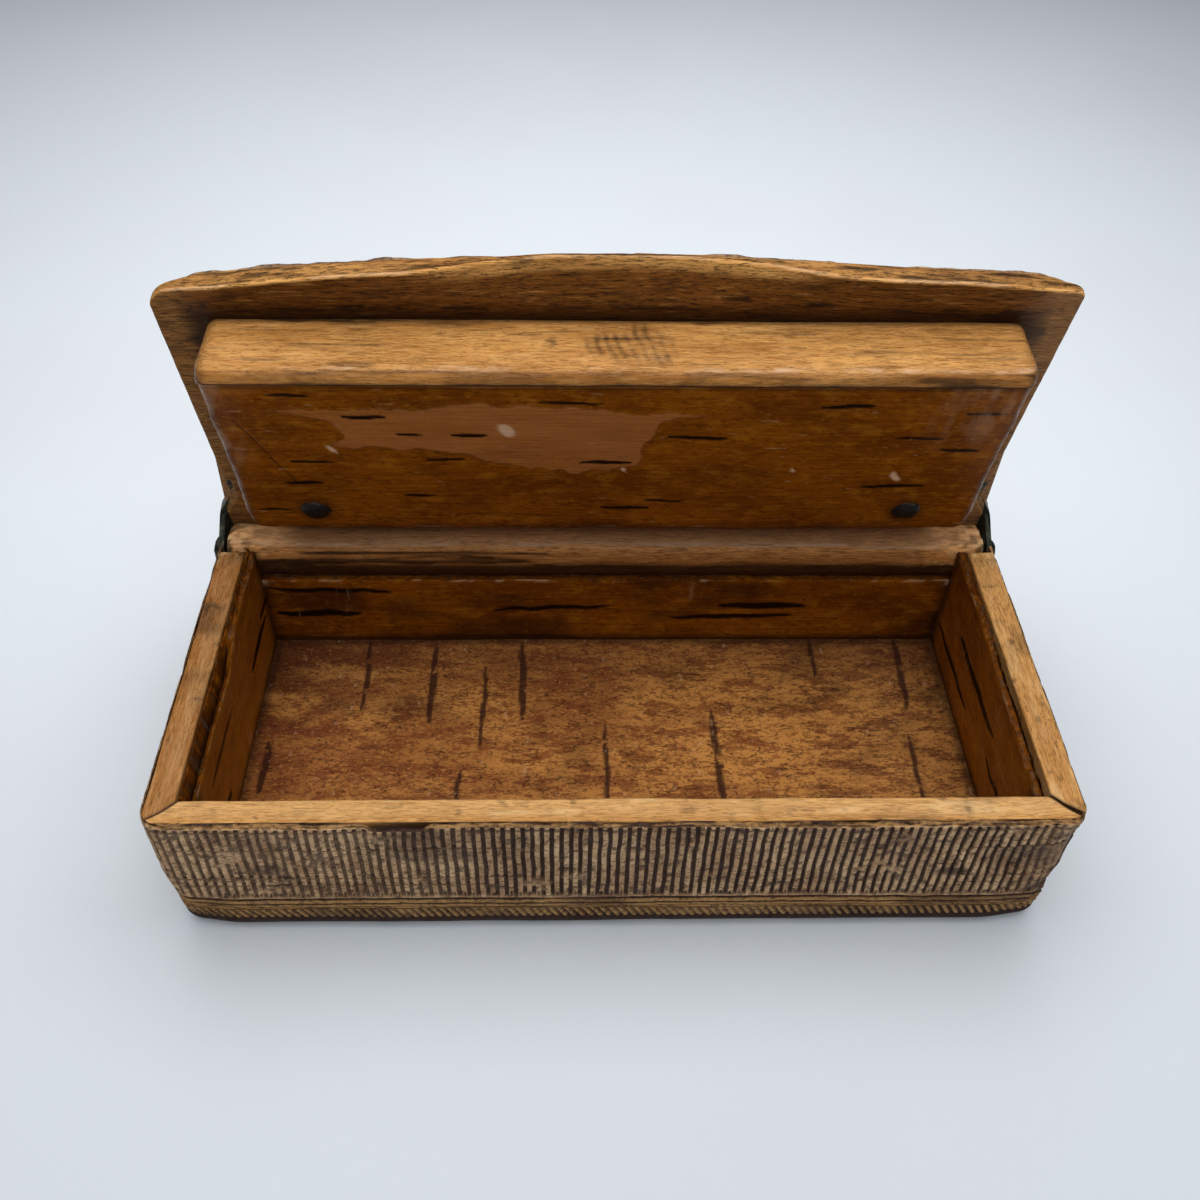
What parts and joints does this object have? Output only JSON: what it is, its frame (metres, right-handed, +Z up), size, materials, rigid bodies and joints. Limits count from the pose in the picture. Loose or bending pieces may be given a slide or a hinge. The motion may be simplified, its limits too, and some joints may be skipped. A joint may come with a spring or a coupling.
{
  "type": "snuff box",
  "caption": "Low rectangular snuff box of birch boards with ribbed bark cladding, bark-lined well and a plug lid on strap hinges.",
  "frame": {"origin": "middle of the base, on the table", "axes": "+X right along the hinge, +Y back towards the hinge, +Z up"},
  "size_m": [0.1036, 0.0536, 0.0636],
  "materials": {
    "birch_wood": "hand-worn, satin",
    "rail_wood": "worn bare, matt",
    "bark_lining": "inner birch bark, satin",
    "bark_cladding": "carved birch bark, matt",
    "strap_brass": "tarnished",
    "nail_iron": "blackened"
  },
  "bodies": {
    "box": {"base_sheet": "bark_cladding", "base_band": "bark_cladding", "bottom_board": "birch_wood", "floor_lining": "bark_lining", "front_wall": "birch_wood", "back_wall": "birch_wood", "left_wall": "birch_wood", "right_wall": "birch_wood", "hinge_rail": "rail_wood", "outer_bark": "bark_cladding", "front_lining": "bark_lining", "back_lining": "bark_lining", "left_lining": "bark_lining", "right_lining": "bark_lining", "hinge_pin_left": "strap_brass", "hinge_pin_right": "strap_brass"},
    "lid": {"lid_board": "birch_wood", "lid_bark": "bark_cladding", "lid_plug": "birch_wood", "plug_lining": "bark_lining", "hinge_strap_left": "strap_brass", "hinge_strap_right": "strap_brass", "strap_nails": "nail_iron", "plug_nails": "nail_iron"}
  },
  "joints": [
    {"name": "lid_hinge", "type": "hinge", "parent": "box", "child": "lid", "pos_m": [0, 0.0212, 0.0166], "axis": [-1, 0, 0], "range_deg": [-75, 6]}
  ]
}
